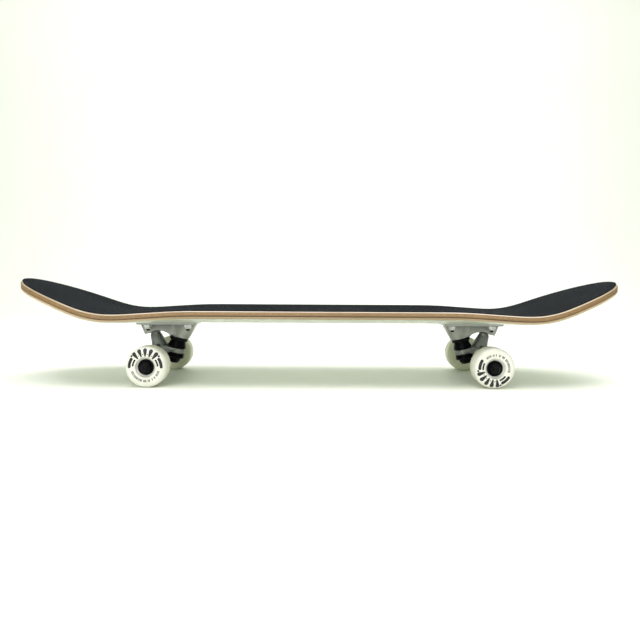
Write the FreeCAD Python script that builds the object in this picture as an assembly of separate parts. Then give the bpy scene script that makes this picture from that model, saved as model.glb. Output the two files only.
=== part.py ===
"""Complete skateboard: a pressed seven-ply deck with grip tape, two cast trucks and four wheels on bearings.

Frame: +X along the board towards the nose, +Y to the rider's left, +Z up, in millimetres. The origin is on
the ground midway between the axles, so the wheels touch z = 0. A truck is drawn in its own frame, with x
pointing outboard from the centre of its bolt pattern; the tail's truck is the nose's, turned half round.
"""

import FreeCAD, Part
import math
import os
from BOPTools import SplitAPI
from FreeCAD import Rotation, Vector

os.makedirs("parts", exist_ok=True)

# ---------------------------------------------------------------- driving dimensions
WHEEL_D = 52.0
WHEEL_W = 32.0
TRUCK_HEIGHT = 53.0  # from the axle to the underside of the deck
DECK_LENGTH = 812.8  # 32 in
DECK_WIDTH = 203.2  # 8 in
INNER_HOLES = 361.95  # 14.25 in wheelbase, between the inner rows of bolt holes
BOLTS_LONG = 53.975  # bolt pattern along the board
BOLTS_WIDE = 41.275  # bolt pattern across the board

PLIES = ["ply_1_top_veneer", "ply_2_long_grain", "ply_3_cross_grain", "ply_4_core_long_grain",
         "ply_5_cross_grain", "ply_6_long_grain", "ply_7_bottom_veneer"]
PLY_T = 1.5
GRIP_T = 0.8
WOOD_T = PLY_T * len(PLIES)

AXLE_Z = WHEEL_D / 2
UNDERSIDE_Z = AXLE_Z + TRUCK_HEIGHT
TOP_Z = UNDERSIDE_Z + WOOD_T + GRIP_T
TRUCK_X = (INNER_HOLES + BOLTS_LONG) / 2

# ---------------------------------------------------------------- deck shape
STRAIGHT_HALF = 265.0  # the sides are parallel up to here
NOSE_POWER_X = 2.33  # powers of the superellipse that rounds nose and tail
NOSE_POWER_Y = 2.12
KICK_START = 261.0
KICK_RADIUS = 137.0
KICK_ANGLE = math.radians(21.5)
FLAT_HALF = 36.0  # half the width of the flat strip down the middle
CONCAVE_MID = 8.3  # how far the side edges stand above the flat strip between the trucks
CONCAVE_END = 2.5  # and in the kicks
FADE_FROM = 162.0
FADE_TO = 274.0
EDGE_ROUND = 2.6
GRIP_INSET = 2.2
KNOT_START = 150.0
KNOT_STEP = 15.0
SIDE_KNOTS = [20.0, 37.0, 54.0, 71.0, 88.0, 105.0]
PATCH_L = 290.0  # the level patch in the middle of the grip tape
PATCH_W = 30.0

# ---------------------------------------------------------------- truck, in its own frame (x outboard)
AXLE_X = 12.0
KINGPIN_TILT = math.radians(14.0)
BOSS_FACE = Vector(-11.0, 0, 56.0)  # centre of the boss face that the upper washer sits on
DOWN_KINGPIN = Vector(math.sin(KINGPIN_TILT), 0, -math.cos(KINGPIN_TILT))
ACROSS_KINGPIN = Vector(math.cos(KINGPIN_TILT), 0, math.sin(KINGPIN_TILT))
KINGPIN_R = 9.525 / 2
HEAD_SEAT = 12.0  # the kingpin head's seat, up from the boss face
KINGPIN_AF = 14.29  # across the flats of the kingpin's head and nut
HEAD_T = 5.6
CUP_WASHER_T = 1.3
TOP_BUSHING_H = 13.5
RING_T = 7.4
LOWER_BUSHING_H = 5.5
KINGPIN_NUT_H = 7.2
KINGPIN_STICKS_OUT = 0.6
KINGPIN_WASHER_R = 12.6
RING_R = 12.4
RING_HOLE_R = 8.4
BUSHING_R = 12.7
BUSHING_WAIST_R = 10.2
BUSHING_BORE_R = 5.0
BUSHING_GAP = 0.1  # between a bushing and the ring's face
LIP_R = 7.7
LIP_H = 3.2
STEER_SWEEP = 12.5  # degrees that the hanger is cleared for, each way

RING_TOP = CUP_WASHER_T + TOP_BUSHING_H
RING_LOW = RING_TOP + RING_T
LOWER_WASHER = RING_LOW + LOWER_BUSHING_H
NUT_TOP = LOWER_WASHER + CUP_WASHER_T
RING_CENTRE = BOSS_FACE + DOWN_KINGPIN * (RING_TOP + RING_T / 2)

PIVOT_BALL = Vector(28.8, 0, 68.5)  # centre of the pivot's round tip
PIVOT_DIR = (PIVOT_BALL - RING_CENTRE).normalize()
ACROSS_PIVOT = Vector(PIVOT_DIR.z, 0, -PIVOT_DIR.x)
PIVOT_R = 4.1
PIVOT_CLEARANCE = 0.12
CUP_R = 5.9
CUP_FROM = -4.5
CUP_TO = 5.2
NECK_ROOM_R = 8.8  # radius of the space round the steering axis, below the pivot cup

FLANGE_INBOARD = 39.0  # the flange's ends, from the centre of the bolt pattern
FLANGE_OUTBOARD = 42.5
FLANGE_CORNER_R = 5.0
FLANGE_W = 57.0
FLANGE_T = 4.5
FLANGE_Z = UNDERSIDE_Z - FLANGE_T
RIB_Y = 10.5  # the baseplate's two side ribs
RIB_T = 3.0
NUT_SPOT_R = 6.4  # flat seats under the mounting nuts

AXLE_R = 7.94 / 2
AXLE_HALF = 101.6
HANGER_HALF = 66.7
WASHER_T = 0.8
BEARING_W = 7.0
BEARING_R = 11.0
BEARING_BORE_R = 4.0
SPACER_L = 10.0
WHEEL_Y = HANGER_HALF + WASHER_T + BEARING_W + SPACER_L / 2
AXLE_NUT_H = 6.9

BOLT_R = 4.826 / 2
BOLT_HOLE_R = 2.75
BOLT_HEAD_R = 4.75
BOLT_HEAD_H = 3.9
BOLT_LENGTH = 24.0
BOLT_NUT_H = 5.9
HEAD_RECESS = 0.15  # how far the bolt heads sit below the top of the grip tape

PITCH_R = 7.5  # ball circle of a 608 bearing
BALL_R = 1.9
RACE_R = 2.05
BALLS = 7
SEAL_R = 10.2


# ---------------------------------------------------------------- helpers
def path(steps):
    """A closed wire in the XZ plane: (r, h) is reached by a line, (r, h, r via, h via) by an arc."""
    edges = []
    for before, step in zip(steps, steps[1:] + steps[:1]):
        start = Vector(before[0], 0, before[1])
        end = Vector(step[0], 0, step[1])
        if len(step) == 4:
            edges.append(Part.Arc(start, Vector(step[2], 0, step[3]), end).toShape())
        else:
            edges.append(Part.makeLine(start, end))
    return Part.Wire(edges)


def turned(steps, origin=Vector(0, 0, 0), axis=Vector(0, 0, 1)):
    """A solid of revolution from (radius, height) steps, its height running along axis from origin."""
    solid = Part.Face(path(steps)).revolve(Vector(0, 0, 0), Vector(0, 0, 1), 360)
    return aimed(solid, origin, axis)


def aimed(shape, origin, axis):
    """Turns a shape drawn along +Z so that it runs along axis from origin."""
    shape = shape.copy()
    shape.Placement = FreeCAD.Placement(origin, Rotation(Vector(0, 0, 1), axis)).multiply(shape.Placement)
    return shape


def rod(radius, start, end):
    return Part.makeCylinder(radius, (end - start).Length, start, end - start)


def hexagon(across_flats, height):
    """A hexagonal prism standing on z = 0."""
    corner = across_flats / math.sqrt(3)
    angles = [k * math.pi / 3 for k in range(7)]
    ring = [Vector(corner * math.cos(a), corner * math.sin(a), 0) for a in angles]
    return Part.Face(Part.makePolygon(ring)).extrude(Vector(0, 0, height))


def slab(corners, half_width):
    """A plate outlined by points in the XZ plane, half_width to each side of y = 0."""
    ring = [Vector(p.x, -half_width, p.z) for p in corners]
    return Part.Face(Part.makePolygon(ring + ring[:1])).extrude(Vector(0, 2 * half_width, 0))


def section(centre, direction, half_u, half_y, power):
    """A closed superellipse curve round centre, spanning direction and Y."""
    points = []
    for k in range(32):
        c = math.cos(k * math.pi / 16)
        s = math.sin(k * math.pi / 16)
        along = math.copysign(abs(c) ** (2 / power), c) * half_u
        side = math.copysign(abs(s) ** (2 / power), s) * half_y
        points.append(centre + direction * along + Vector(0, side, 0))
    curve = Part.BSplineCurve()
    curve.interpolate(Points=points, PeriodicFlag=True)
    return Part.Wire(curve.toShape())


def fused(shapes):
    body = shapes[0]
    for shape in shapes[1:]:
        body = body.fuse(shape)
    return body


def carved(body, tools):
    """The body with each tool's shape cut away in turn."""
    for tool in tools:
        body = body.cut(tool)
    return body.Solids[0]


def lock_nut(across_flats, height, bore_r):
    """A hexagon lock nut with a round collar that holds its nylon ring, standing on z = 0, collar up."""
    hex_h = height * 0.68
    corner = across_flats / math.sqrt(3)
    inner = across_flats * 0.47
    chamfers = turned([(0, 0), (inner, 0), (corner + 0.2, hex_h * 0.2), (corner + 0.2, hex_h * 0.8),
                       (inner, hex_h), (0, hex_h)])
    collar_r = across_flats * 0.45
    collar = turned([(0, hex_h - 0.3), (collar_r, hex_h - 0.3), (collar_r, height - 1.0),
                     (collar_r - 1.0, height, collar_r - 0.29, height - 0.29), (0, height)])
    nut = hexagon(across_flats, hex_h).common(chamfers).fuse(collar)
    return nut.cut(Part.makeCylinder(bore_r, height + 2, Vector(0, 0, -1)))


def thread_steps(radius, start, end, pitch):
    """Steps of a ringed thread along a shaft, from height start up to end, both outside the grooves."""
    count = int(abs(end - start) / pitch)
    way = math.copysign(pitch, end - start)
    steps = [(radius, start)]
    for k in range(count):
        steps.append((radius - 0.4, start + (k + 0.5) * way))
        steps.append((radius, start + (k + 1) * way))
    return steps


def at_end(shape, end):
    """Puts a truck's shape under its end of the board: +1 is the nose, -1 the tail."""
    placed = shape.copy()
    if end < 0:
        placed.rotate(Vector(0, 0, 0), Vector(0, 0, 1), 180)
    placed.translate(Vector(end * TRUCK_X, 0, 0))
    return placed


def save(name, shape):
    shape.exportStep("parts/" + name + ".step")


# ---------------------------------------------------------------- deck
def smooth(t):
    t = min(max(t, 0.0), 1.0)
    return t * t * (3 - 2 * t)


def kick_slope(x):
    """Angle of the centre line above the horizontal at x."""
    return math.asin(min(max((abs(x) - KICK_START) / KICK_RADIUS, 0.0), math.sin(KICK_ANGLE)))


def centre_rise(x):
    """Height of the centre line above the flat at x: an arc, then a straight ramp."""
    arc_end = KICK_START + KICK_RADIUS * math.sin(KICK_ANGLE)
    return KICK_RADIUS * (1 - math.cos(kick_slope(x))) + max(abs(x) - arc_end, 0.0) * math.tan(KICK_ANGLE)


def edge_rise(x):
    """How far a full-width side edge stands above the centre line at x."""
    return CONCAVE_MID + (CONCAVE_END - CONCAVE_MID) * smooth((abs(x) - FADE_FROM) / (FADE_TO - FADE_FROM))


def side_share(y):
    return (max(abs(y) - FLAT_HALF, 0.0) / (DECK_WIDTH / 2 - FLAT_HALF)) ** 2


def clamped(knots, degree):
    return [knots[0]] * degree + knots + [knots[-1]] * degree


def pole_places(knots, degree):
    """Where the poles of a clamped spline belong so that they follow a function (Greville abscissae)."""
    full = clamped(knots, degree)
    return [sum(full[i + 1:i + 1 + degree]) / degree for i in range(len(full) - degree - 1)]


def layer_surface(depth):
    """The pressed surface at a depth below the top of the grip tape, wider than the board."""
    degree = 3
    far = [KNOT_START + KNOT_STEP * i for i in range(19)]
    knots_x = [-k for k in reversed(far)] + far
    knots_y = [-k for k in reversed(SIDE_KNOTS)] + SIDE_KNOTS
    poles = []
    for x in pole_places(knots_x, degree):
        base = TOP_Z - depth / math.cos(kick_slope(x)) + centre_rise(x)
        rise = edge_rise(x)
        poles.append([Vector(x, y, base + rise * side_share(y)) for y in pole_places(knots_y, degree)])
    repeats_x = [degree + 1] + [1] * (len(knots_x) - 2) + [degree + 1]
    repeats_y = [degree + 1] + [1] * (len(knots_y) - 2) + [degree + 1]
    surface = Part.BSplineSurface()
    surface.buildFromPolesMultsKnots(poles, repeats_x, repeats_y, knots_x, knots_y,
                                     False, False, degree, degree)
    return surface.toShape()


def outline(inset):
    """The board seen from above: two parallel sides and two superellipse ends."""
    half_l = DECK_LENGTH / 2 - inset
    half_w = DECK_WIDTH / 2 - inset
    steps = 24
    edges = []
    for end in (1, -1):
        points = []
        for k in range(steps + 1):
            angle = math.pi * k / steps
            reach = abs(math.sin(angle)) ** (2 / NOSE_POWER_X)
            side = math.copysign(abs(math.cos(angle)) ** (2 / NOSE_POWER_Y), math.cos(angle))
            x = STRAIGHT_HALF + (half_l - STRAIGHT_HALF) * reach
            points.append(Vector(end * x, end * half_w * side, 0))
        points[0] = Vector(end * STRAIGHT_HALF, end * half_w, 0)
        points[-1] = Vector(end * STRAIGHT_HALF, -end * half_w, 0)
        curve = Part.BSplineCurve()
        outward = Vector(end, 0, 0)
        curve.interpolate(Points=points, InitialTangent=outward, FinalTangent=-outward)
        edges.append(curve.toShape())
        edges.append(Part.makeLine(points[-1], Vector(-end * STRAIGHT_HALF, -end * half_w, 0)))
    return Part.Wire(Part.__sortEdges__(edges))


def between(inset, top, low):
    """The part of the board's upright prism between two depths."""
    face = Part.Face(outline(inset))
    face.translate(Vector(0, 0, 50))
    prism = face.extrude(Vector(0, 0, 120))
    pieces = SplitAPI.slice(prism, [layer_surface(top), layer_surface(low)], "Split").Solids
    return sorted(pieces, key=lambda s: s.CenterOfMass.z)[1]


def bolt_places():
    """Centres of the eight mounting bolts: (x, y)."""
    half_l = BOLTS_LONG / 2
    half_w = BOLTS_WIDE / 2
    corners = [(dx, dy) for dx in (-half_l, half_l) for dy in (-half_w, half_w)]
    return [(end * TRUCK_X + dx, dy) for end in (1, -1) for dx, dy in corners]


def bolt_holes(radius):
    """Eight straight holes through the board."""
    return [rod(radius, Vector(x, y, UNDERSIDE_Z - 5), Vector(x, y, TOP_Z + 5)) for x, y in bolt_places()]


def build_deck():
    """Plies and grip tape. The bolt heads sink through the tape and the top two plies onto the third."""
    head_holes = bolt_holes(BOLT_HEAD_R + 0.2)
    shank_holes = bolt_holes(BOLT_HOLE_R)

    wood = between(0.0, GRIP_T, GRIP_T + WOOD_T)
    wood = wood.makeFillet(EDGE_ROUND, [e for e in wood.Edges if e.Length > 100])
    glue_lines = [layer_surface(GRIP_T + PLY_T * k) for k in range(1, len(PLIES))]
    plies = sorted(SplitAPI.slice(wood, glue_lines, "Split").Solids, key=lambda s: -s.CenterOfMass.z)
    for k, ply in enumerate(plies):
        save(PLIES[k], ply.cut(head_holes if k < 2 else shank_holes).Solids[0])

    grip = between(GRIP_INSET, 0.0, GRIP_T)
    window = Part.makeBox(PATCH_L, PATCH_W, 40, Vector(-PATCH_L / 2, -PATCH_W / 2, TOP_Z - 20))
    patch = Part.makeBox(PATCH_L, PATCH_W, GRIP_T, Vector(-PATCH_L / 2, -PATCH_W / 2, TOP_Z - GRIP_T))
    save("grip_tape", grip.cut(window).fuse(patch).cut(head_holes).Solids[0])


# ---------------------------------------------------------------- mounting hardware
def mounting_bolt():
    """A flat-head bolt, standing where one goes through the deck on the Z axis."""
    top = TOP_Z - HEAD_RECESS
    end = top - BOLT_LENGTH
    steps = [(0, top), (BOLT_HEAD_R, top), (BOLT_HEAD_R, top - 0.35), (BOLT_R, top - BOLT_HEAD_H)]
    steps += thread_steps(BOLT_R, FLANGE_Z + 1.0, end + 1.0, 0.79)
    steps += [(BOLT_R - 0.6, end), (0, end)]
    bolt = turned(steps)
    for angle in (0, 90):
        blade = Part.makeBox(4.6, 1.0, 3.0, Vector(-2.3, -0.5, top - 1.7))
        blade.rotate(Vector(0, 0, 0), Vector(0, 0, 1), angle)
        bolt = bolt.cut(blade)
    return bolt


def mounting_nut():
    nut = lock_nut(9.5, BOLT_NUT_H, BOLT_R + 0.05)
    return aimed(nut, Vector(0, 0, FLANGE_Z), Vector(0, 0, -1))


def build_mounting(name, end):
    bolts = []
    nuts = []
    for x, y in bolt_places():
        if x * end > 0:
            for kept, one in ((bolts, mounting_bolt()), (nuts, mounting_nut())):
                one.rotate(Vector(0, 0, 0), Vector(0, 0, 1), 17 * len(kept))
                one.translate(Vector(x, y, 0))
                kept.append(one)
    save(name + "_mounting_bolts", Part.makeCompound(bolts))
    save(name + "_mounting_nuts", Part.makeCompound(nuts))


# ---------------------------------------------------------------- truck
def baseplate():
    """The cast baseplate: flange, kingpin boss, pivot housing, and the arched ribs and web between them."""
    corner = Vector(-FLANGE_INBOARD, -FLANGE_W / 2, FLANGE_Z)
    flange = Part.makeBox(FLANGE_INBOARD + FLANGE_OUTBOARD, FLANGE_W, FLANGE_T, corner)
    upright = [e for e in flange.Edges if e.BoundBox.ZLength > FLANGE_T - 0.1]
    flange = flange.makeFillet(FLANGE_CORNER_R, upright)
    flange = flange.makeFillet(1.0, [e for e in flange.Edges if e.BoundBox.ZMax < FLANGE_Z + 0.01])
    root = FLANGE_Z + 1.5

    boss = Part.makeLoft([
        section(Vector(-17.3, 0, root), Vector(1, 0, 0), 19.2, 17.0, 3.2),
        section(Vector(-14.0, 0, 66.5), Vector(0.992, 0, 0.122), 17.0, 14.6, 2.7),
        section(BOSS_FACE - ACROSS_KINGPIN * 1.0, ACROSS_KINGPIN, 12.6, 12.6, 2.1)], True)
    pivot_housing = Part.makeLoft([
        section(Vector(28.4, 0, root), Vector(1, 0, 0), 10.5, 15.0, 3.2),
        section(Vector(29.2, 0, 66.5), Vector(0.985, 0, -0.174), 8.1, 12.0, 3.0),
        section(Vector(29.2, 0, 61.4), Vector(0.962, 0, -0.274), 5.0, 10.6, 3.2)], True)

    arch = [Vector(34.0, 0, 60.1), Vector(26.2, 0, 62.4), Vector(20.5, 0, 65.0), Vector(15.8, 0, 65.9),
            Vector(8.6, 0, 64.6), Vector(2.4, 0, 62.0), Vector(-0.6, 0, 58.3)]
    ribs = []
    for side in (-1, 1):
        rib = slab([Vector(40.5, 0, root)] + arch + [Vector(-8, 0, 60), Vector(-10, 0, root)], RIB_T / 2)
        rib.translate(Vector(0, side * RIB_Y, 0))
        ribs.append(rib)
    web = slab([Vector(-6, 0, root), Vector(-3, 0, 60), Vector(6, 0, 65.5), Vector(26, 0, 68.0),
                Vector(26, 0, root)], RIB_Y)
    body = fused([flange, boss, pivot_housing, web] + ribs)

    mouth = PIVOT_BALL + PIVOT_DIR * CUP_FROM
    head_seat = BOSS_FACE - DOWN_KINGPIN * HEAD_SEAT
    head_pocket = aimed(hexagon(KINGPIN_AF + 0.5, 40), head_seat, -DOWN_KINGPIN)
    cup_mouth_r = CUP_R + 0.03
    cuts = [
        rod(KINGPIN_R + 0.15, BOSS_FACE + DOWN_KINGPIN * 5, BOSS_FACE - DOWN_KINGPIN * 20),
        head_pocket,
        rod(cup_mouth_r, mouth - PIVOT_DIR * 1, mouth + PIVOT_DIR * (CUP_TO - CUP_FROM)),
        turned([(0, 0), (cup_mouth_r, 0), (NECK_ROOM_R, -1.6), (NECK_ROOM_R, -40), (0, -40)],
               mouth, PIVOT_DIR)]
    for x, y in bolt_places():
        if x > 0:
            cuts.append(rod(BOLT_HOLE_R, Vector(x - TRUCK_X, y, 60), Vector(x - TRUCK_X, y, 85)))
            spot = Vector(x - TRUCK_X, y, FLANGE_Z)
            cuts.append(rod(NUT_SPOT_R, spot + Vector(0, 0, -12), spot))
    return carved(body, cuts)


def pivot_cup():
    inner = PIVOT_R + PIVOT_CLEARANCE
    low = -1.6
    at_low = math.sqrt(inner ** 2 - low ** 2)
    steps = [(0, CUP_TO), (CUP_R, CUP_TO), (CUP_R, CUP_FROM), (5.2, CUP_FROM), (at_low, low),
             (0, inner, inner * math.cos(0.6), inner * math.sin(0.6))]
    return turned(steps, PIVOT_BALL, PIVOT_DIR)


def kingpin():
    """The kingpin bolt along its own axis, heights measured down from the boss face."""
    end = NUT_TOP + KINGPIN_NUT_H + KINGPIN_STICKS_OUT
    steps = [(0, -HEAD_SEAT), (KINGPIN_R, -HEAD_SEAT)]
    steps += thread_steps(KINGPIN_R, LOWER_WASHER - 2, end - 1.2, 1.06)
    steps += [(KINGPIN_R - 0.9, end), (0, end)]
    shank = turned(steps, BOSS_FACE, DOWN_KINGPIN)
    corner = KINGPIN_AF / math.sqrt(3)
    chamfers = turned([(0, 0), (corner + 0.1, 0), (corner + 0.1, HEAD_T - 1.2), (KINGPIN_AF * 0.46, HEAD_T),
                       (0, HEAD_T)])
    head = hexagon(KINGPIN_AF, HEAD_T).common(chamfers)
    return fused([shank, aimed(head, BOSS_FACE - DOWN_KINGPIN * HEAD_SEAT, -DOWN_KINGPIN)])


def kingpin_nut():
    nut = lock_nut(KINGPIN_AF, KINGPIN_NUT_H, KINGPIN_R + 0.05)
    return aimed(nut, BOSS_FACE + DOWN_KINGPIN * NUT_TOP, DOWN_KINGPIN)


def top_washer():
    """A cup washer, its rim turned down round the bushing's waist."""
    bore = KINGPIN_R + 0.15
    r = KINGPIN_WASHER_R
    steps = [(bore, 0), (r - 2.0, 0), (r, 1.5), (r, 4.2), (r - 0.8, 4.2), (r - 0.8, 2.1),
             (r - 2.2, CUP_WASHER_T), (bore, CUP_WASHER_T)]
    return turned(steps, BOSS_FACE, DOWN_KINGPIN)


def bottom_washer():
    """The same washer's mirror below, its shallow rim turned up round the lower bushing."""
    bore = KINGPIN_R + 0.15
    r = KINGPIN_WASHER_R
    steps = [(bore, 0), (r - 1.5, 0), (r - 0.6, -1.6), (r, -1.6), (r, 0.1), (r - 1.2, CUP_WASHER_T),
             (bore, CUP_WASHER_T)]
    return turned(steps, BOSS_FACE + DOWN_KINGPIN * LOWER_WASHER, DOWN_KINGPIN)


def top_bushing():
    """A flared bushing, widest on the hanger's ring, with a lip that centres it there."""
    foot = TOP_BUSHING_H - BUSHING_GAP
    r = BUSHING_R
    waist = BUSHING_WAIST_R
    steps = [(BUSHING_BORE_R, 0), (waist - 0.6, 0), (waist, 0.6), (waist, 3.4), (r, foot - 1.9),
             (r - 0.9, foot, r - 0.1, foot - 0.7), (LIP_R, foot), (LIP_R - 0.3, foot + LIP_H),
             (BUSHING_BORE_R, foot + LIP_H)]
    return turned(steps, BOSS_FACE + DOWN_KINGPIN * CUP_WASHER_T, DOWN_KINGPIN)


def bottom_bushing():
    """The lower bushing, tapered into its washer, with its lip up in the ring."""
    h = LOWER_BUSHING_H
    r = BUSHING_R - 0.5
    steps = [(BUSHING_BORE_R, -LIP_H), (LIP_R - 0.3, -LIP_H), (LIP_R, BUSHING_GAP), (r - 0.8, BUSHING_GAP),
             (r, 0.9, r - 0.2, 0.3), (r, h - 3.0), (r - 1.5, h), (BUSHING_BORE_R, h)]
    return turned(steps, BOSS_FACE + DOWN_KINGPIN * RING_LOW, DOWN_KINGPIN)


def hanger():
    """The cast hanger: axle tube, arm up to the pivot, ring round the bushings and two gussets."""
    axle_centre = Vector(AXLE_X, 0, AXLE_Z)
    half = HANGER_HALF
    tube = turned([(0, -half), (7.3, -half), (7.9, -half + 0.6), (8.4, -40), (9.8, -20), (9.8, 20), (8.4, 40),
                   (7.9, half - 0.6), (7.3, half), (0, half)], axle_centre, Vector(0, 1, 0))

    arm = Part.makeLoft([
        section(Vector(12.0, 0, 22.5), Vector(1, 0, 0), 7.6, 22.0, 2.4),
        section(Vector(13.4, 0, 33.0), Vector(1, 0, 0), 10.0, 18.5, 2.5),
        section(Vector(15.1, 0, 44.0), Vector(1, 0, 0), 11.3, 12.6, 2.6),
        section(Vector(18.2, 0, 52.5), Vector(1, 0, 0), 9.4, 9.6, 2.6),
        section(Vector(22.0, 0, 61.0), Vector(0.97, 0, -0.24), 6.8, 6.8, 2.4),
        section(PIVOT_BALL - PIVOT_DIR * 7.6, ACROSS_PIVOT, 5.0, 5.0, 2.0)], True)
    tip = math.sqrt(PIVOT_R ** 2 - 4.0)
    neck = turned([(0, -13), (7.2, -13), (7.2, -9.5), (6.1, -6.3), (4.6, -4.6), (tip, -2.0),
                   (0, PIVOT_R, PIVOT_R * math.cos(0.6), PIVOT_R * math.sin(0.6))], PIVOT_BALL, PIVOT_DIR)

    ring_low = RING_CENTRE + DOWN_KINGPIN * (RING_T / 2)
    ring = turned([(0, 0), (RING_R - 0.9, 0), (RING_R, 0.9, RING_R - 0.26, 0.26), (RING_R, RING_T - 0.9),
                   (RING_R - 0.9, RING_T, RING_R - 0.26, RING_T - 0.26), (0, RING_T)],
                  ring_low, -DOWN_KINGPIN)
    ring_top = RING_CENTRE - DOWN_KINGPIN * (RING_T / 2 - 0.3)
    yoke = slab([ring_top - ACROSS_KINGPIN * 3, ring_top + ACROSS_KINGPIN * 14, Vector(13, 0, 42),
                 Vector(13, 0, 31), Vector(4, 0, 34.2)], RING_R + 0.8)

    gussets = []
    for side in (-1, 1):
        corners = [(5, 48), (11, 46.5), (50, 32.2), (50, 26), (5, 26)]
        plate_edge = [Vector(AXLE_X + 1.5, side * y, z) for y, z in corners]
        plate = Part.Face(Part.makePolygon(plate_edge + plate_edge[:1]))
        gussets.append(plate.extrude(Vector(4.5, 0, 0)))
    body = fused([tube, arm, neck, ring, yoke] + gussets)
    cuts = [rod(AXLE_R + 0.04, Vector(AXLE_X, -80, AXLE_Z), Vector(AXLE_X, 80, AXLE_Z)),
            rod(RING_HOLE_R, ring_low + DOWN_KINGPIN * 10, ring_low - DOWN_KINGPIN * (RING_T + 0.01)),
            rod(BUSHING_R + 0.7, ring_low - DOWN_KINGPIN * RING_T, ring_low - DOWN_KINGPIN * (RING_T + 9)),
            rod(BUSHING_R + 0.2, ring_low, ring_low + DOWN_KINGPIN * 4)]
    return carved(body, cuts + kingpin_sweep())


def kingpin_sweep():
    """Room for the lower washer and the kingpin's nut as the hanger steers, seen from the hanger."""
    washer_r = KINGPIN_WASHER_R + 0.5
    nut_r = KINGPIN_AF / math.sqrt(3) + 0.5
    start = LOWER_WASHER - 1.9
    step = NUT_TOP + 0.5
    end = NUT_TOP + KINGPIN_NUT_H + 3
    room = turned([(0, start), (washer_r, start), (washer_r, step), (nut_r, step), (nut_r, end), (0, end)],
                  BOSS_FACE, DOWN_KINGPIN)
    rooms = []
    for share in (-1, -0.5, 0, 0.5, 1):
        turned_room = room.copy()
        turned_room.rotate(RING_CENTRE, PIVOT_DIR, share * STEER_SWEEP)
        rooms.append(turned_room)
    return rooms


def axle():
    half = AXLE_HALF
    steps = [(0, -half), (AXLE_R - 0.8, -half)]
    steps += thread_steps(AXLE_R, -half + 1.0, -WHEEL_Y - 11.5, 1.06)
    steps += thread_steps(AXLE_R, WHEEL_Y + 11.5, half - 1.0, 1.06)
    steps += [(AXLE_R - 0.8, half), (0, half)]
    return turned(steps, Vector(AXLE_X, 0, AXLE_Z), Vector(0, 1, 0))


def on_axle(shape, y, side):
    """Puts a shape drawn along +Z at a distance y from the middle of the axle, pointing outwards."""
    return aimed(shape, Vector(AXLE_X, side * y, AXLE_Z), Vector(0, side, 0))


def tube_piece(outer_r, inner_r, length):
    return turned([(inner_r, 0), (outer_r, 0), (outer_r, length), (inner_r, length)])


def axle_hardware():
    """Nuts, speed washers, inner rings and spacers that sit on one axle, by node name."""
    nut = lock_nut(12.7, AXLE_NUT_H, AXLE_R + 0.05)
    washer = tube_piece(5.9, AXLE_R + 0.04, WASHER_T)
    spacer = tube_piece(5.4, AXLE_R + 0.04, SPACER_L)
    inner = bearing_inner_ring()
    first = HANGER_HALF + WASHER_T
    second = first + BEARING_W + SPACER_L
    outer_washer = second + BEARING_W
    sides = (1, -1)
    return {
        "axle_nuts": [on_axle(nut, outer_washer + WASHER_T, s) for s in sides],
        "speed_washers": [on_axle(washer, y, s) for s in sides for y in (HANGER_HALF, outer_washer)],
        "bearing_spacers": [on_axle(spacer, first + BEARING_W, s) for s in sides],
        "bearing_inner_rings": [on_axle(inner, y, s) for s in sides for y in (first, second)]}


# ---------------------------------------------------------------- bearings and wheels
def bearing_inner_ring():
    """Drawn along +Z from its inner face, like all the bearing's pieces."""
    r = 6.05
    mid = BEARING_W / 2
    groove = math.sqrt(RACE_R ** 2 - (PITCH_R - r) ** 2)
    b = BEARING_BORE_R
    return turned([(b, 0.3), (b + 0.3, 0), (r, 0), (r, mid - groove),
                   (r, mid + groove, PITCH_R - RACE_R, mid), (r, BEARING_W), (b + 0.3, BEARING_W),
                   (b, BEARING_W - 0.3)])


def bearing_outer_ring():
    r = 9.3
    seat = SEAL_R + 0.08
    mid = BEARING_W / 2
    groove = math.sqrt(RACE_R ** 2 - (r - PITCH_R) ** 2)
    o = BEARING_R
    w = BEARING_W
    return turned([(o - 0.35, 0), (seat, 0), (seat, 0.9), (r, 0.9), (r, mid - groove),
                   (r, mid + groove, PITCH_R + RACE_R, mid), (r, w - 0.9), (seat, w - 0.9), (seat, w),
                   (o - 0.35, w), (o, w - 0.35), (o, 0.35)])


def bearing_seal():
    """A thin rubber shield with a raised inner lip, its outer face at z = 0 and the bearing below."""
    r = SEAL_R
    return turned([(6.3, -0.62), (r, -0.62), (r, -0.15), (r - 0.7, 0), (r - 1.0, -0.12), (7.0, -0.12),
                   (6.7, 0), (6.3, -0.1)])


def bearing_balls():
    return [Part.makeSphere(BALL_R, Vector(PITCH_R * math.cos(a), PITCH_R * math.sin(a), BEARING_W / 2))
            for a in [2 * math.pi * k / BALLS for k in range(BALLS)]]


def bearing_cage():
    ring = tube_piece(8.1, 6.9, 4.8)
    ring.translate(Vector(0, 0, BEARING_W / 2 - 2.4))
    pockets = []
    for k in range(BALLS):
        a = 2 * math.pi * k / BALLS
        out = Vector(math.cos(a), math.sin(a), 0)
        middle = Vector(0, 0, BEARING_W / 2)
        pockets.append(rod(BALL_R + 0.08, middle + out * 5, middle + out * 10))
    return ring.cut(pockets)


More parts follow.
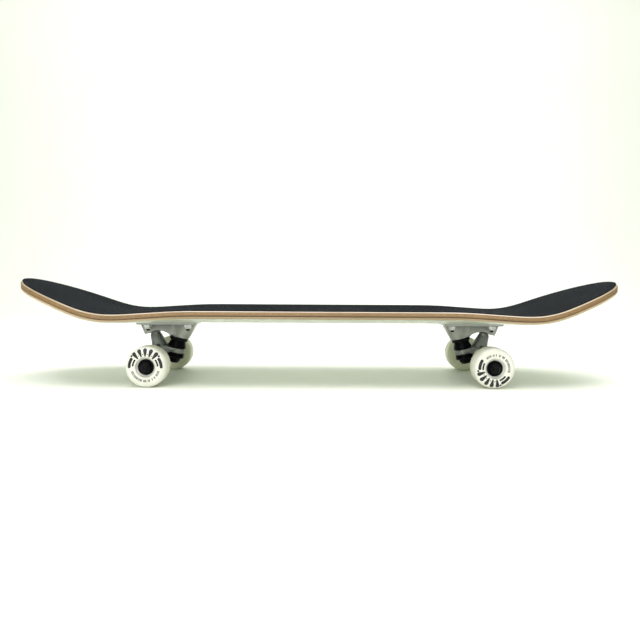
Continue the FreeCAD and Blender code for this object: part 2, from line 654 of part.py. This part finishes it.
def wheel():
    """The urethane wheel about +Z, centred on its middle, with a seat for a bearing in each side."""
    w = WHEEL_W / 2
    r = WHEEL_D / 2
    seat = SPACER_L / 2
    mouth = seat + BEARING_W
    half = [(9.3, seat), (BEARING_R + 0.02, seat), (BEARING_R + 0.02, mouth + 0.1), (11.9, mouth + 0.9),
            (12.7, w - 0.9), (13.3, w - 0.35, 12.9, w - 0.5), (16.6, w - 0.1), (20.3, w, 18.5, w + 0.05),
            (r, 9.5, 24.45, 13.75)]
    other = []
    arcs = {5: (12.9, -(w - 0.5)), 7: (18.5, -(w + 0.05)), 8: (24.45, -13.75)}
    for k in range(len(half) - 1, -1, -1):
        via = arcs.get(k + 1, ())
        other.append((half[k][0], -half[k][1]) + via)
    return turned(half + other)


def build_truck(name, end):
    fixed = {"baseplate": baseplate(), "pivot_cup": pivot_cup(), "kingpin": kingpin(),
             "kingpin_nut": kingpin_nut(), "top_washer": top_washer(), "top_bushing": top_bushing(),
             "bottom_bushing": bottom_bushing(), "bottom_washer": bottom_washer(),
             "hanger": hanger(), "axle": axle()}
    for part_name, shape in fixed.items():
        save(name + "_" + part_name, at_end(shape, end))
    for part_name, shapes in axle_hardware().items():
        save(name + "_" + part_name, at_end(Part.makeCompound(shapes), end))


def build_wheel(name, end, side):
    """One wheel with its bearings. side is +1 on the rider's left, -1 on the right."""
    truck_side = side * end
    first = WHEEL_Y - SPACER_L / 2 - BEARING_W
    second = WHEEL_Y + SPACER_L / 2
    outer = bearing_outer_ring()
    seal = bearing_seal()
    flipped = seal.copy()
    flipped.rotate(Vector(0, 0, 0), Vector(1, 0, 0), 180)
    rings = [on_axle(outer, y, truck_side) for y in (first, second)]
    seals = []
    for y in (first, second):
        seals.append(on_axle(seal, y + BEARING_W - 0.2, truck_side))
        seals.append(on_axle(flipped, y + 0.2, truck_side))
    balls = [on_axle(ball, y, truck_side) for ball in bearing_balls() for y in (first, second)]
    cages = [on_axle(bearing_cage(), y, truck_side) for y in (first, second)]
    save(name + "_wheel", at_end(on_axle(wheel(), WHEEL_Y, truck_side), end))
    for part_name, shapes in (("bearing_outer_rings", rings), ("bearing_seals", seals),
                              ("bearing_balls", balls), ("bearing_cages", cages)):
        save(name + "_" + part_name, at_end(Part.makeCompound(shapes), end))


build_deck()
for end_name, end_sign in (("nose", 1), ("tail", -1)):
    build_mounting(end_name, end_sign)
    build_truck(end_name, end_sign)
    for side_name, side_sign in (("left", 1), ("right", -1)):
        build_wheel(end_name + "_" + side_name, end_sign, side_sign)
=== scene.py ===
"""Looks for the skateboard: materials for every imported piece, softened castings, wheel prints and a studio.

Everything is in metres in the board's own frame: +X towards the nose, +Y to the rider's left, +Z up, with
the wheels on z = 0. The camera looks along +Y, so the nose is on the right of the picture.
"""

import math

import bpy
from mathutils import Matrix, Vector


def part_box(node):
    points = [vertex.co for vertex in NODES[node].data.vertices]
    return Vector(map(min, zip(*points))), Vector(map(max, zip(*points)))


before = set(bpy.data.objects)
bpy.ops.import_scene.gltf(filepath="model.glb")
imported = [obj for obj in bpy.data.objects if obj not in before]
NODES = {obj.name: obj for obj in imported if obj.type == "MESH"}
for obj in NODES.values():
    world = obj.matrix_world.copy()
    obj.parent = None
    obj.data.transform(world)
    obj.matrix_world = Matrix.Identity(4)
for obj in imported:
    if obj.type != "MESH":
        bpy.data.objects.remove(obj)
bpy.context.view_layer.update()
MM = 0.001

# ---------------------------------------------------------------- wheel print, in millimetres and degrees
PRINT_FACE = 10.5  # the print lies further out than this from the wheel's middle
PETAL_ANGLES = (50, 70, 90, 110, 130)
PETAL_FROM = 14.6
PETAL_TO = 21.4
PETAL_THIN = 1.0
PETAL_THICK = 2.5
SIDE_ARCS = ((15.7, 8, 34, 1.15), (20.0, 2, 31, 1.9), (15.7, 146, 172, 1.15), (20.0, 149, 178, 1.9))
DOTS = ((22.0, 39.5, 1.3), (22.0, 140.5, 1.3)) + tuple((16.4, angle, 0.7) for angle in (60, 80, 100, 120))
TICK_RADIUS = 17.2
TICK_HALF_HEIGHT = 1.5
TICK_PERIOD = 4.6
TICK_ARC = (196, 344)
TICKS_LEFT_OUT = 0.13  # the share of the ticks that is missing, which makes gaps like those between words
TICK_SHARES = (0.50, 0.80)  # the narrowest and the widest tick, as shares of the period
INK = (0.010, 0.010, 0.011)
FULL_TURN = 360.0
PRINT_TURN = {"tail_right": 0, "nose_right": 148, "tail_left": 70, "nose_left": -110}

# ---------------------------------------------------------------- urethane of the wheels, in millimetres
CREAM_DARK = (0.80, 0.79, 0.695)
CREAM_LIGHT = (0.855, 0.85, 0.775)
INNER_FACE_SHADE = (0.76, 0.80, 0.62)  # painted shade: what is left of the colour on the inner face, which is in shade
INNER_SHADE_FROM = 2.0  # how far towards the outer face the painted shade starts, from the wheel's middle
INNER_SHADE_FULL = -12.0
TREAD_FROM = 24.6
TREAD_FULL = 25.9
SCUFFED = (0.55, 0.52, 0.44)

# ---------------------------------------------------------------- wood
TAN_STRETCH = (0.17, 0.36)  # metres from the middle, over which the sanded edge changes its tone
WOOD_TAN = (0.97, 0.93, 0.82)
FACE_TAN = (0.66, 0.64, 0.50)
DARK_PLY_TAN = (2.3, 2.4, 2.7)
LOWER_TAN = (1.6, 1.62, 1.75)
BOTTOM_TAN = (2.0, 2.15, 2.5)
PLY_TONES = {
    "ply_1_top_veneer": ((0.72, 0.63, 0.53), (0.56, 0.47, 0.36), False, FACE_TAN),
    "ply_2_long_grain": ((0.295, 0.195, 0.098), (0.215, 0.138, 0.064), False, WOOD_TAN),
    "ply_3_cross_grain": ((0.385, 0.245, 0.125), (0.20, 0.112, 0.044), True, WOOD_TAN),
    "ply_4_core_long_grain": ((0.30, 0.192, 0.093), (0.215, 0.134, 0.060), False, WOOD_TAN),
    "ply_5_cross_grain": ((0.105, 0.062, 0.026), (0.042, 0.024, 0.009), True, DARK_PLY_TAN),
    "ply_6_long_grain": ((0.39, 0.29, 0.17), (0.28, 0.20, 0.11), False, LOWER_TAN)}
BOTTOM_WOOD = ((0.36, 0.285, 0.185), (0.27, 0.205, 0.125))

# ---------------------------------------------------------------- paint and grip tape
PAINT_PALE = (0.58, 0.60, 0.52)
PAINT_CLOUD = (0.47, 0.50, 0.41)
PAINT_FLECK = (0.34, 0.37, 0.28)
PAINT_THIN = (0.42, 0.38, 0.28)  # where the grain shows through
PAINTED_BELOW = (-0.80, -0.74)  # the paint starts where the surface faces down by this much
GRIP_BLACK = (0.0068, 0.0086, 0.0108)
GRIP_WORN = (0.0108, 0.0134, 0.0164)
GRIP_GLINT = (0.10, 0.11, 0.12)
GRAINS_PER_METRE = 1900

# ---------------------------------------------------------------- metals, rubber and nylon
BASEPLATE_TONE = (0.44, 0.45, 0.43)
# painted shade: the same alloy as the baseplate, darker because the deck shades the hanger
HANGER_SHADED_TONE = (0.25, 0.265, 0.25)
ZINC_TONE = (0.62, 0.63, 0.63)
BEARING_TONE = (0.55, 0.56, 0.57)
OXIDE_BLACK = (0.0018, 0.0020, 0.0025)
OXIDE_RUBBED = (0.0060, 0.0060, 0.0066)
RUBBER_TONE = 0.0012
RUBBER_DUST = (0.009, 0.0095, 0.0105)
NYLON_DARK = (0.60, 0.55, 0.44)
NYLON_LIGHT = (0.72, 0.68, 0.58)
SHADE_REACH = 0.018  # metres over which a casting's own walls darken it with painted shade
SHADE_OPENNESS = (0.30, 0.92)
RECESS_SHADE_TONE = 0.22  # what the painted shade in a deep recess keeps of the casting's tone
CASTINGS = {"baseplate": (0.00055, 6), "hanger": (0.00065, 10)}  # remesh cell in metres, rounds of smoothing

# ---------------------------------------------------------------- camera
CAMERA_PLACE = (-0.01082, -0.8876, 0.1382)
CAMERA_LENS = 35.76
CAMERA_SENSOR = 36
CAMERA_PITCH = 3.724  # degrees below the horizontal
CAMERA_PAN = 0.669  # degrees towards the nose
CAMERA_ROLL = 0.344

# ---------------------------------------------------------------- studio
WORLD_COLOR = (0.96, 1.0, 0.92)
WORLD_STRENGTH = 0.36
LAMPS = {  # place, target, size, watts, colour
    "overhead": ((0.1, -0.15, 1.7), (0, 0.05, 0), (2.4, 1.4), 46, (1.0, 0.98, 1.0)),
    "front": ((-0.6, -2.2, 0.9), (0, 0, 0.05), (1.8, 1.0), 19, (0.99, 0.975, 1.0)),
    "wall": ((0.0, 1.1, 2.0), (0, 2.6, 0.9), (4.0, 0.6), 30, (1.0, 0.97, 1.0))}
BACKDROP_NEAR = -2.4  # along y, like the next two
BACKDROP_MIDDLE = 0.6
BACKDROP_FAR = 2.6
BACKDROP_HEIGHT = 2.6
BACKDROP_HALF_WIDTH = 4.5
SWEEP_RADIUS = 1.2
SWEEP_STEPS = 16
BACKDROP_TONES = ((0.915, 0.955, 0.86), (0.93, 0.965, 0.875))


# ---------------------------------------------------------------- shader helpers
class Graph:
    """Short calls that add nodes to one material and join them up. Values may be sockets or numbers."""

    def __init__(self, name):
        self.material = bpy.data.materials.new(name)
        self.material.use_nodes = True
        self.tree = self.material.node_tree
        self.shader = self.tree.nodes["Principled BSDF"]
        self.place = self.add("ShaderNodeTexCoord").outputs["Object"]

    def add(self, kind, **settings):
        node = self.tree.nodes.new(kind)
        for key, value in settings.items():
            setattr(node, key, value)
        return node

    def put(self, socket, value):
        if isinstance(value, bpy.types.NodeSocket):
            self.tree.links.new(value, socket)
        elif socket.type == "RGBA" and len(value) == 3:
            socket.default_value = (*value, 1.0)
        else:
            socket.default_value = value

    def math(self, operation, *values, clamp=False):
        node = self.add("ShaderNodeMath", operation=operation, use_clamp=clamp)
        for socket, value in zip(node.inputs, values):
            self.put(socket, value)
        return node.outputs[0]

    def vector(self, operation, *values):
        node = self.add("ShaderNodeVectorMath", operation=operation)
        for socket, value in zip(node.inputs, values):
            self.put(socket, value)
        scalar = operation in ("LENGTH", "DOT_PRODUCT", "DISTANCE")
        return node.outputs["Value" if scalar else "Vector"]

    def split(self, vector):
        node = self.add("ShaderNodeSeparateXYZ")
        self.put(node.inputs[0], vector)
        return node.outputs

    def join(self, x, y, z=0.0):
        node = self.add("ShaderNodeCombineXYZ")
        for socket, value in zip(node.inputs, (x, y, z)):
            self.put(socket, value)
        return node.outputs[0]

    def stretched(self, scale, turn=(0, 0, 0)):
        """The object's coordinates, scaled by so many features per metre along each axis."""
        node = self.add("ShaderNodeMapping")
        self.put(node.inputs["Vector"], self.place)
        self.put(node.inputs["Rotation"], turn)
        self.put(node.inputs["Scale"], scale)
        return node.outputs[0]

    def noise(self, scale, detail=3.0, roughness=0.5, at=None, distortion=0.0):
        """Soft random patches, scale of them to a metre, with detail finer octaves."""
        node = self.add("ShaderNodeTexNoise")
        self.put(node.inputs["Vector"], at or self.place)
        self.put(node.inputs["Scale"], scale)
        self.put(node.inputs["Detail"], detail)
        self.put(node.inputs["Roughness"], roughness)
        self.put(node.inputs["Distortion"], distortion)
        return node.outputs["Fac"]

    def cells(self, scale, output="Distance"):
        """Random cells, scale of them to a metre: the distance to a cell's middle, or its random colour."""
        node = self.add("ShaderNodeTexVoronoi")
        self.put(node.inputs["Vector"], self.place)
        self.put(node.inputs["Scale"], scale)
        return node.outputs[output]

    def span(self, value, low, high, to_low=0.0, to_high=1.0):
        """The value's stretch from low to high, mapped to another stretch and held at its ends."""
        node = self.add("ShaderNodeMapRange")
        for socket, number in zip(node.inputs, (value, low, high, to_low, to_high)):
            self.put(socket, number)
        return node.outputs[0]

    def mix(self, factor, first, second, blend="MIX"):
        node = self.add("ShaderNodeMix", data_type="RGBA", blend_type=blend)
        self.put(node.inputs["Factor"], factor)
        self.put(node.inputs[6], first)
        self.put(node.inputs[7], second)
        return node.outputs[2]

    def bump(self, height, distance, strength):
        """Relief of so many metres, for light only."""
        node = self.add("ShaderNodeBump")
        self.put(node.inputs["Height"], height)
        self.put(node.inputs["Distance"], distance)
        self.put(node.inputs["Strength"], strength)
        self.put(self.shader.inputs["Normal"], node.outputs[0])

    def finish(self, color, roughness, metallic=0.0, **sockets):
        """Sets the shader and returns the material. Further sockets are named with _ for a blank."""
        self.put(self.shader.inputs["Base Color"], color)
        self.put(self.shader.inputs["Roughness"], roughness)
        self.put(self.shader.inputs["Metallic"], metallic)
        for name, value in sockets.items():
            self.put(self.shader.inputs[name.replace("_", " ")], value)
        return self.material


def dimmed(color, share):
    """The colour with this share of its light left."""
    return tuple(channel * share for channel in color)


# ---------------------------------------------------------------- materials
def grip_tape():
    """Silicon-carbide grit on a black sheet: fine sharp grains, a few of them glinting."""
    g = Graph("grip_tape")
    grains = g.cells(GRAINS_PER_METRE)
    glint = g.span(g.split(g.cells(GRAINS_PER_METRE, "Color"))[0], 0.93, 1.0)
    worn = g.span(g.noise(9, 4, 0.6), 0.42, 0.66)
    dark = g.mix(worn, GRIP_BLACK, GRIP_WORN)
    color = g.mix(g.math("MULTIPLY", glint, 0.40), dark, GRIP_GLINT)
    height = g.math("ADD", g.span(grains, 0.0, 0.7, 1.0, 0.0), g.math("MULTIPLY", g.noise(700, 2), 0.6))
    g.bump(height, 0.00032, 0.85)
    return g.finish(color, g.span(glint, 0.0, 1.0, 0.9, 0.4), Specular_IOR_Level=0.06)


def tanned(g, color, tan):
    """Multiplies the sanded edge's tone by tan towards nose and tail."""
    along = g.math("ABSOLUTE", g.split(g.place)[0])
    return g.mix(g.span(along, *TAN_STRETCH), color, g.mix(1.0, color, tan, "MULTIPLY"))


def veneer(name, light, dark, cross_grain, tan):
    """A maple ply as its sanded edge shows it: streaks along the board, or the ends of the grain."""
    g = Graph(name)
    if cross_grain:
        streaks = g.noise(1.0, 4, 0.6, at=g.stretched((260, 12, 700)))
        pores = g.noise(1.0, 2, 0.5, at=g.stretched((1500, 60, 2200)))
    else:
        streaks = g.noise(1.0, 4, 0.62, at=g.stretched((7, 90, 520)), distortion=0.3)
        pores = g.noise(1.0, 2, 0.5, at=g.stretched((60, 800, 2600)))
    patches = g.noise(1.0, 2, 0.5, at=g.stretched((5, 5, 60)))
    tone = g.math("ADD", g.math("MULTIPLY", streaks, 0.72), g.math("MULTIPLY", patches, 0.28))
    color = g.mix(g.span(tone, 0.36, 0.64), dark, light)
    color = g.mix(g.span(pores, 0.60, 0.74, 0.0, 0.38), color, dimmed(dark, 0.55))
    color = tanned(g, color, tan)
    g.bump(g.math("ADD", pores, g.math("MULTIPLY", streaks, 0.5)), 0.00012, 0.5)
    return g.finish(color, g.span(streaks, 0.3, 0.7, 0.48, 0.62), Specular_IOR_Level=0.4)


def painted_bottom(light, dark):
    """The bottom ply: bare maple at its sanded edge, satin pale paint with a cloudy print underneath."""
    g = Graph("painted_bottom")
    streaks = g.noise(1.0, 4, 0.62, at=g.stretched((7, 90, 520)), distortion=0.3)
    wood = g.mix(g.span(streaks, 0.36, 0.64), dark, light)

    sweep = g.noise(1.0, 3, 0.5, at=g.stretched((9, 15, 0), (0, 0, 0.5)), distortion=1.2)
    bands = g.math("PINGPONG", g.math("MULTIPLY", sweep, 6.0), 0.5)
    cloud = g.span(bands, 0.17, 0.27)
    flecks = g.span(g.noise(1.0, 3, 0.6, at=g.stretched((38, 60, 0), (0, 0, -0.4))), 0.62, 0.66)
    paint = g.mix(cloud, PAINT_PALE, PAINT_CLOUD)
    paint = g.mix(g.math("MULTIPLY", flecks, 0.55), paint, PAINT_FLECK)
    grain = g.noise(1.0, 3, 0.6, at=g.stretched((10, 420, 10)))
    paint = g.mix(g.span(grain, 0.40, 0.62, 0.10, 0.0), paint, PAINT_THIN)

    facing = g.split(g.add("ShaderNodeNewGeometry").outputs["Normal"])[2]
    edge_wear = g.math("MULTIPLY", g.math("SUBTRACT", g.noise(260, 3), 0.5), 0.28)
    painted = g.span(g.math("ADD", facing, edge_wear), *PAINTED_BELOW, 1.0, 0.0)
    g.bump(g.math("ADD", g.math("MULTIPLY", grain, 0.8), g.noise(500, 2)), 0.00006, 0.5)
    color = g.mix(painted, tanned(g, wood, BOTTOM_TAN), paint)
    return g.finish(color, g.span(painted, 0, 1, 0.55, 0.33), Specular_IOR_Level=0.5)


def cast_aluminium(name, tone):
    """Tumbled aluminium: mottled, with a sandy skin and a few pits, and painted shade that darkens the
    recesses.
    """
    g = Graph(name)
    mottle = g.noise(130, 4, 0.6)
    sand = g.noise(2600, 2, 0.5)
    pits = g.span(g.cells(900), 0.0, 0.16, 1.0, 0.0)
    some = g.span(g.noise(300, 2), 0.60, 0.66)
    pits = g.math("MULTIPLY", pits, some)
    color = g.mix(g.span(mottle, 0.35, 0.65), dimmed(tone, 0.86), tone)
    color = g.mix(g.math("MULTIPLY", pits, 0.5), color, dimmed(tone, 0.4))
    # painted shade: the colour darkens where the casting's own walls are close
    shade_reach = g.add("ShaderNodeAmbientOcclusion", samples=12, only_local=True)
    g.put(shade_reach.inputs["Distance"], SHADE_REACH)
    color = g.mix(g.span(shade_reach.outputs["AO"], *SHADE_OPENNESS), dimmed(tone, RECESS_SHADE_TONE), color)
    height = g.math("SUBTRACT", g.math("ADD", g.math("MULTIPLY", sand, 0.6), mottle), pits)
    g.bump(height, 0.00013, 0.55)
    return g.finish(color, g.span(mottle, 0.3, 0.7, 0.38, 0.52), 0.78)


def steel(name, tone, roughness, turned_marks):
    """Plated or bright steel, with faint turning marks and small rubs."""
    g = Graph(name)
    rubs = g.noise(420, 4, 0.65)
    marks = g.noise(1.0, 2, 0.5, at=g.stretched((900, 5200, 900)))
    color = g.mix(g.span(rubs, 0.35, 0.7), dimmed(tone, 0.84), tone)
    g.bump(g.math("ADD", g.math("MULTIPLY", marks, turned_marks), rubs), 0.00003, 0.5)
    return g.finish(color, g.span(rubs, 0.3, 0.7, roughness * 0.8, roughness * 1.25), 1.0)


def black_steel():
    """Black oxide: nearly black, with a brownish sheen where it is rubbed."""
    g = Graph("black_steel")
    rubs = g.noise(380, 4, 0.65)
    color = g.mix(g.span(rubs, 0.5, 0.75), OXIDE_BLACK, OXIDE_RUBBED)
    g.bump(rubs, 0.00005, 0.5)
    return g.finish(color, g.span(rubs, 0.3, 0.7, 0.34, 0.50), 0.0, Specular_IOR_Level=0.10)


def black_polymer(name, roughness):
    """Black urethane or rubber, slightly blue: a faint moulded skin, a little dust."""
    g = Graph(name)
    skin = g.noise(1500, 3, 0.55)
    dust = g.span(g.noise(160, 4, 0.6), 0.56, 0.80)
    black = (RUBBER_TONE, RUBBER_TONE * 1.1, RUBBER_TONE * 1.3)
    color = g.mix(g.math("MULTIPLY", dust, 0.3), black, RUBBER_DUST)
    g.bump(skin, 0.00006, 0.45)
    return g.finish(color, g.span(dust, 0, 1, roughness, roughness + 0.22), Specular_IOR_Level=0.07)


def cage_nylon():
    """Natural nylon, unevenly coloured by the flow in its mould."""
    g = Graph("cage_nylon")
    flow = g.noise(500, 3, 0.5)
    color = g.mix(g.span(flow, 0.35, 0.65), NYLON_DARK, NYLON_LIGHT)
    g.bump(flow, 0.00004, 0.4)
    return g.finish(color, 0.42, Subsurface_Weight=0.15, Subsurface_Radius=(0.002, 0.0015, 0.001))


def stroke(g, point, start, end, thin, thick):
    """1 inside a round-ended stroke that widens from thin at its start to thick at its end, all in mm."""
    along = (end[0] - start[0], end[1] - start[1], 0.0)
    length_squared = along[0] ** 2 + along[1] ** 2
    away = g.vector("SUBTRACT", point, (start[0], start[1], 0.0))
    share = g.math("DIVIDE", g.vector("DOT_PRODUCT", away, along), length_squared, clamp=True)
    nearest = g.vector("MULTIPLY", along, g.join(share, share, share))
    distance = g.vector("DISTANCE", away, nearest)
    return g.math("LESS_THAN", distance, g.span(share, 0.0, 1.0, thin, thick))


def polar(radius, degrees):
    """The flat place at this radius and angle from the hub."""
    angle = math.radians(degrees)
    return radius * math.cos(angle), radius * math.sin(angle)


def arc(g, point, radius, degrees, band):
    """1 inside a round-ended arc about the hub. radius and degrees are the shaded point's own.

    band is the arc's radius, its first and last angle, and half its width.
    """
    ring, first, last, half = band
    on_ring = g.math("LESS_THAN", g.math("ABSOLUTE", g.math("SUBTRACT", radius, ring)), half)
    inside = g.math("MULTIPLY", g.math("GREATER_THAN", degrees, first), g.math("LESS_THAN", degrees, last))
    body = g.math("MULTIPLY", on_ring, inside)
    for angle in (first, last):
        tip = g.vector("DISTANCE", point, (*polar(ring, angle), 0.0))
        body = g.math("MAXIMUM", body, g.math("LESS_THAN", tip, half))
    return body


def wheel_urethane(name, center, outward, turn):
    """Cream urethane, with a fan of petals, arcs, dots and ticks printed in black on the outer face."""
    g = Graph("urethane_" + name)
    x, y, z = g.split(g.vector("SUBTRACT", g.place, tuple(center)))
    across = g.math("MULTIPLY", x, -outward / MM)
    up = g.math("DIVIDE", z, MM)
    out = g.math("MULTIPLY", y, outward / MM)
    cosine, sine = polar(1.0, turn)
    u = g.math("ADD", g.math("MULTIPLY", across, cosine), g.math("MULTIPLY", up, sine))
    v = g.math("SUBTRACT", g.math("MULTIPLY", up, cosine), g.math("MULTIPLY", across, sine))
    point = g.join(u, v)
    radius = g.vector("LENGTH", point)
    degrees = g.math("MULTIPLY", g.math("ARCTAN2", v, u), math.degrees(1.0))
    degrees = g.math("MODULO", g.math("ADD", degrees, FULL_TURN), FULL_TURN)

    shapes = [stroke(g, point, polar(PETAL_FROM, angle), polar(PETAL_TO, angle), PETAL_THIN, PETAL_THICK)
              for angle in PETAL_ANGLES]
    shapes += [arc(g, point, radius, degrees, band) for band in SIDE_ARCS]
    for ring, place, size in DOTS:
        shapes.append(g.math("LESS_THAN", g.vector("DISTANCE", point, (*polar(ring, place), 0.0)), size))
    ink = shapes[0]
    for shape in shapes[1:]:
        ink = g.math("MAXIMUM", ink, shape)

    count = g.math("DIVIDE", degrees, TICK_PERIOD)
    random = g.add("ShaderNodeTexWhiteNoise", noise_dimensions="1D")
    g.put(random.inputs["W"], g.math("FLOOR", count))
    chance = random.outputs["Value"]
    tick = g.math("LESS_THAN", g.math("FRACT", count), g.span(chance, 0.2, 1.0, *TICK_SHARES))
    tick = g.math("MULTIPLY", tick, g.math("GREATER_THAN", chance, TICKS_LEFT_OUT))
    off_ring = g.math("ABSOLUTE", g.math("SUBTRACT", radius, TICK_RADIUS))
    tick = g.math("MULTIPLY", tick, g.math("LESS_THAN", off_ring, TICK_HALF_HEIGHT))
    tick = g.math("MULTIPLY", tick, g.math("GREATER_THAN", degrees, TICK_ARC[0]))
    tick = g.math("MULTIPLY", tick, g.math("LESS_THAN", degrees, TICK_ARC[1]))
    ink = g.math("MAXIMUM", ink, tick)
    ink = g.math("MULTIPLY", ink, g.math("GREATER_THAN", out, PRINT_FACE))

    cloud = g.noise(70, 3, 0.5)
    cream = g.mix(g.span(cloud, 0.35, 0.65), CREAM_DARK, CREAM_LIGHT)
    patches = g.span(g.noise(55, 3), 0.3, 0.6, 0.75, 1.0)
    # painted shade on the inner face: darker and greener, in patches
    inner_shade = g.math("MULTIPLY", g.span(out, INNER_SHADE_FROM, INNER_SHADE_FULL), patches)
    cream = g.mix(inner_shade, cream, g.mix(1.0, cream, INNER_FACE_SHADE, "MULTIPLY"))
    tread = g.span(radius, TREAD_FROM, TREAD_FULL)
    scuff = g.span(g.noise(1.0, 4, 0.65, at=g.stretched((240, 700, 240))), 0.52, 0.72, 0.0, 0.35)
    cream = g.mix(g.math("MULTIPLY", tread, scuff), cream, SCUFFED)
    color = g.mix(ink, cream, INK)
    g.bump(g.math("ADD", g.noise(900, 3), g.math("MULTIPLY", ink, 0.5)), 0.00004, 0.5)
    rough = g.math("ADD", g.span(cloud, 0.3, 0.7, 0.30, 0.40), g.math("MULTIPLY", tread, 0.18))
    return g.finish(color, rough, Subsurface_Weight=0.18, Subsurface_Radius=(0.004, 0.0035, 0.0025),
                    Specular_IOR_Level=0.5)


# ---------------------------------------------------------------- assigning materials
def dress(node, material):
    """Gives the piece this material and no other."""
    data = NODES[node].data
    data.materials.clear()
    data.materials.append(material)


for ply, tones in PLY_TONES.items():
    dress(ply, veneer(ply, *tones))
dress("ply_7_bottom_veneer", painted_bottom(*BOTTOM_WOOD))
dress("grip_tape", grip_tape())

ALUMINIUM = cast_aluminium("cast_aluminium", BASEPLATE_TONE)
# painted shade: the baseplate's cast aluminium, darkened for the deck's shadow on the hangers
HANGER_SHADED_ALUMINIUM = cast_aluminium("hanger_aluminium", HANGER_SHADED_TONE)
ZINC = steel("zinc_steel", ZINC_TONE, roughness=0.28, turned_marks=0.4)
BEARING_STEEL = steel("bearing_steel", BEARING_TONE, roughness=0.22, turned_marks=0.8)
BLACK_STEEL = black_steel()
BUSHING = black_polymer("black_urethane", roughness=0.30)
SHIELD = black_polymer("black_rubber", roughness=0.42)
NYLON = cage_nylon()

TRUCK_FINISH = {
    "mounting_bolts": BLACK_STEEL, "mounting_nuts": ZINC, "baseplate": ALUMINIUM, "pivot_cup": BUSHING,
    "kingpin": ZINC, "kingpin_nut": BLACK_STEEL, "top_washer": BLACK_STEEL, "top_bushing": BUSHING,
    "bottom_bushing": BUSHING, "bottom_washer": BLACK_STEEL, "hanger": HANGER_SHADED_ALUMINIUM, "axle": BLACK_STEEL,
    "axle_nuts": BLACK_STEEL, "speed_washers": ZINC, "bearing_inner_rings": BEARING_STEEL,
    "bearing_spacers": ZINC}
WHEEL_FINISH = {
    "bearing_outer_rings": BEARING_STEEL, "bearing_seals": SHIELD, "bearing_balls": BEARING_STEEL,
    "bearing_cages": NYLON}

for end in ("nose", "tail"):
    for part, finish in TRUCK_FINISH.items():
        dress(end + "_" + part, finish)
    for side, outward in (("left", 1), ("right", -1)):
        corner = end + "_" + side
        for part, finish in WHEEL_FINISH.items():
            dress(corner + "_" + part, finish)
        low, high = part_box(corner + "_wheel")
        dress(corner + "_wheel", wheel_urethane(corner, (low + high) / 2, outward, PRINT_TURN[corner]))


# ---------------------------------------------------------------- castings
def soften_casting(node, cell, rounds):
    """Gives a casting the rounded corners and fillets that come out of a mould."""
    piece = NODES[node]
    skin = piece.modifiers.new("skin", "REMESH")
    skin.mode = "VOXEL"
    skin.voxel_size = cell
    skin.use_smooth_shade = True
    round_off = piece.modifiers.new("round_off", "SMOOTH")
    round_off.factor = 0.5
    round_off.iterations = rounds


for end in ("nose", "tail"):
    for part, (cell, rounds) in CASTINGS.items():
        soften_casting(end + "_" + part, cell, rounds)


# ---------------------------------------------------------------- studio
def backdrop():
    """A pale floor that sweeps up into the wall behind, with no corner."""
    sweep_start = BACKDROP_FAR - SWEEP_RADIUS
    profile = [(BACKDROP_NEAR, 0.0), (BACKDROP_MIDDLE, 0.0), (sweep_start, 0.0)]
    for step in range(1, SWEEP_STEPS + 1):
        angle = math.pi / 2 * step / SWEEP_STEPS
        profile.append((sweep_start + SWEEP_RADIUS * math.sin(angle),
                        SWEEP_RADIUS - SWEEP_RADIUS * math.cos(angle)))
    profile.append((BACKDROP_FAR, BACKDROP_HEIGHT))
    mesh = bpy.data.meshes.new("backdrop")
    points = [(x, y, z) for y, z in profile for x in (-BACKDROP_HALF_WIDTH, BACKDROP_HALF_WIDTH)]
    faces = [(k, k + 1, k + 3, k + 2) for k in range(0, 2 * len(profile) - 2, 2)]
    mesh.from_pydata(points, [], faces)
    for face in mesh.polygons:
        face.use_smooth = True
    sheet = bpy.data.objects.new("backdrop", mesh)
    bpy.context.scene.collection.objects.link(sheet)
    g = Graph("backdrop")
    tone = g.mix(g.span(g.noise(3, 3), 0.35, 0.65), *BACKDROP_TONES)
    mesh.materials.append(g.finish(tone, 0.55, Specular_IOR_Level=0.25))


def area_light(name, place, target, size, power, color):
    """A soft rectangular lamp at place, pointing at target."""
    lamp = bpy.data.lights.new(name, "AREA")
    lamp.shape = "RECTANGLE"
    lamp.size, lamp.size_y = size
    lamp.energy = power
    lamp.color = color
    holder = bpy.data.objects.new(name, lamp)
    holder.location = place
    holder.rotation_euler = (Vector(target) - Vector(place)).to_track_quat("-Z", "Y").to_euler()
    bpy.context.scene.collection.objects.link(holder)


def studio():
    """Faint light from all around, and the lamps."""
    world = bpy.data.worlds.new("studio")
    world.use_nodes = True
    sky = world.node_tree.nodes["Background"].inputs
    sky["Color"].default_value = (*WORLD_COLOR, 1.0)
    sky["Strength"].default_value = WORLD_STRENGTH
    bpy.context.scene.world = world
    for name, settings in LAMPS.items():
        area_light(name, *settings)


def camera():
    """The photograph's viewpoint."""
    data = bpy.data.cameras.new("camera")
    data.lens = CAMERA_LENS
    data.sensor_width = CAMERA_SENSOR
    holder = bpy.data.objects.new("camera", data)
    pan = Matrix.Rotation(-math.radians(CAMERA_PAN), 4, "Z")
    pitch = Matrix.Rotation(math.radians(90 - CAMERA_PITCH), 4, "X")
    roll = Matrix.Rotation(math.radians(CAMERA_ROLL), 4, "Z")
    holder.matrix_world = Matrix.Translation(CAMERA_PLACE) @ pan @ pitch @ roll
    bpy.context.scene.collection.objects.link(holder)
    bpy.context.scene.camera = holder


backdrop()
studio()
camera()
bpy.context.scene.view_settings.view_transform = "Standard"
